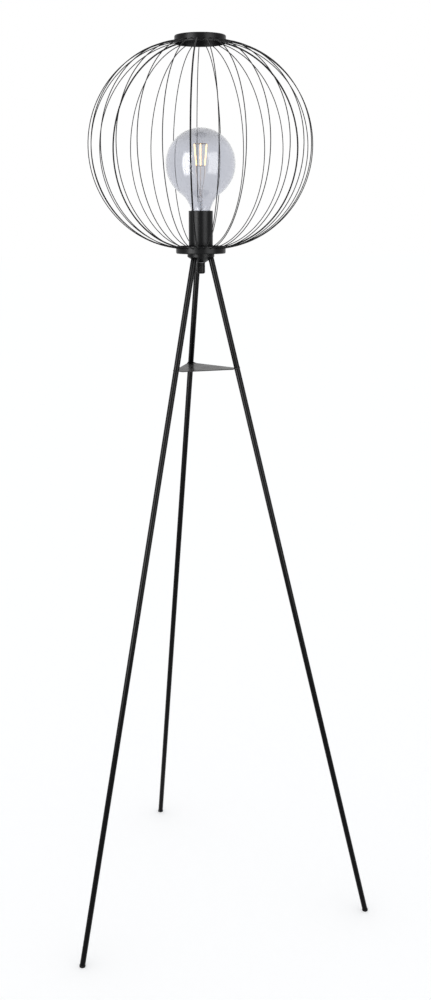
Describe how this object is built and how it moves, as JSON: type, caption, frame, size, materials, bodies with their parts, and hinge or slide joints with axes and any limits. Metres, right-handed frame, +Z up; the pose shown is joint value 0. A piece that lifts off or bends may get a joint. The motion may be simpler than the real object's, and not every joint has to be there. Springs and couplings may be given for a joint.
{
  "type": "wire cage floor lamp",
  "caption": "Floor lamp on three slender splayed legs, with a round cage of bowed wires around a clear globe bulb in a plain cylindrical lampholder.",
  "frame": {"origin": "on the floor, on the vertical axis through the cage, bulb and hub", "axes": "+Z up along the lamp axis; +Y towards the back leg; the two front legs stand 60 degrees either side of -Y"},
  "size_m": [0.5958, 0.5419, 1.6767],
  "materials": {
    "powder_black": "satin powder coat",
    "foot_plastic": "matte moulded",
    "grip_plastic": "matte moulded",
    "zinc_steel": "zinc plated",
    "holder_plastic": "moulded phenolic",
    "brass": "bright",
    "clear_glass": "clear",
    "stem_glass": "clear",
    "cap_metal": "nickel plated",
    "contact_metal": "tinned",
    "dark_insulator": "glossy",
    "support_wire": "bright drawn wire",
    "filament_coat": "translucent coated strip"
  },
  "bodies": {
    "lamp": {"cage_base": "powder_black", "top_cap": "powder_black", "cage_rods": "powder_black", "cage_wires": "powder_black", "hub": "powder_black", "spacer_plate": "powder_black", "socket_cup": "powder_black", "upper_leg_front_left": "powder_black", "upper_leg_front_right": "powder_black", "upper_leg_back": "powder_black", "lower_leg_front_left": "powder_black", "lower_leg_front_right": "powder_black", "lower_leg_back": "powder_black", "foot_cap_front_left": "foot_plastic", "foot_cap_front_right": "foot_plastic", "foot_cap_back": "foot_plastic", "cord_grip": "grip_plastic", "leg_plugs": "zinc_steel", "hub_studs": "zinc_steel", "spacer_studs": "zinc_steel", "stem": "zinc_steel", "lock_nut": "zinc_steel", "lock_washer": "zinc_steel", "cord_grip_washer": "zinc_steel", "cord_grip_screw": "zinc_steel", "socket_bracket": "zinc_steel", "bracket_screws": "zinc_steel", "socket_body": "holder_plastic", "socket_sleeve": "brass", "socket_spring": "brass", "terminal_blocks": "brass", "terminal_screws": "brass"},
    "bulb_base": {"bulb_contact": "contact_metal"},
    "bulb": {"bulb_glass": "clear_glass", "glass_stem": "stem_glass", "bulb_cap": "cap_metal", "bulb_insulator": "dark_insulator", "filament_mast": "support_wire", "filament_hoops": "support_wire", "lead_wires": "support_wire", "filaments": "filament_coat"}
  },
  "joints": [
    {"name": "bulb_lift", "type": "slide", "parent": "lamp", "child": "bulb_base", "axis": [0, 0, 1], "range_m": [0, 0.0146]},
    {"name": "bulb_turn", "type": "hinge", "parent": "bulb_base", "child": "bulb", "pos_m": [0, 0, 1.3447], "axis": [0, 0, 1], "range_deg": [0, 1440]}
  ],
  "couplings": [
    {"joint": "bulb_lift", "follows": "bulb_turn", "m_per_rad": 0.00057773}
  ]
}
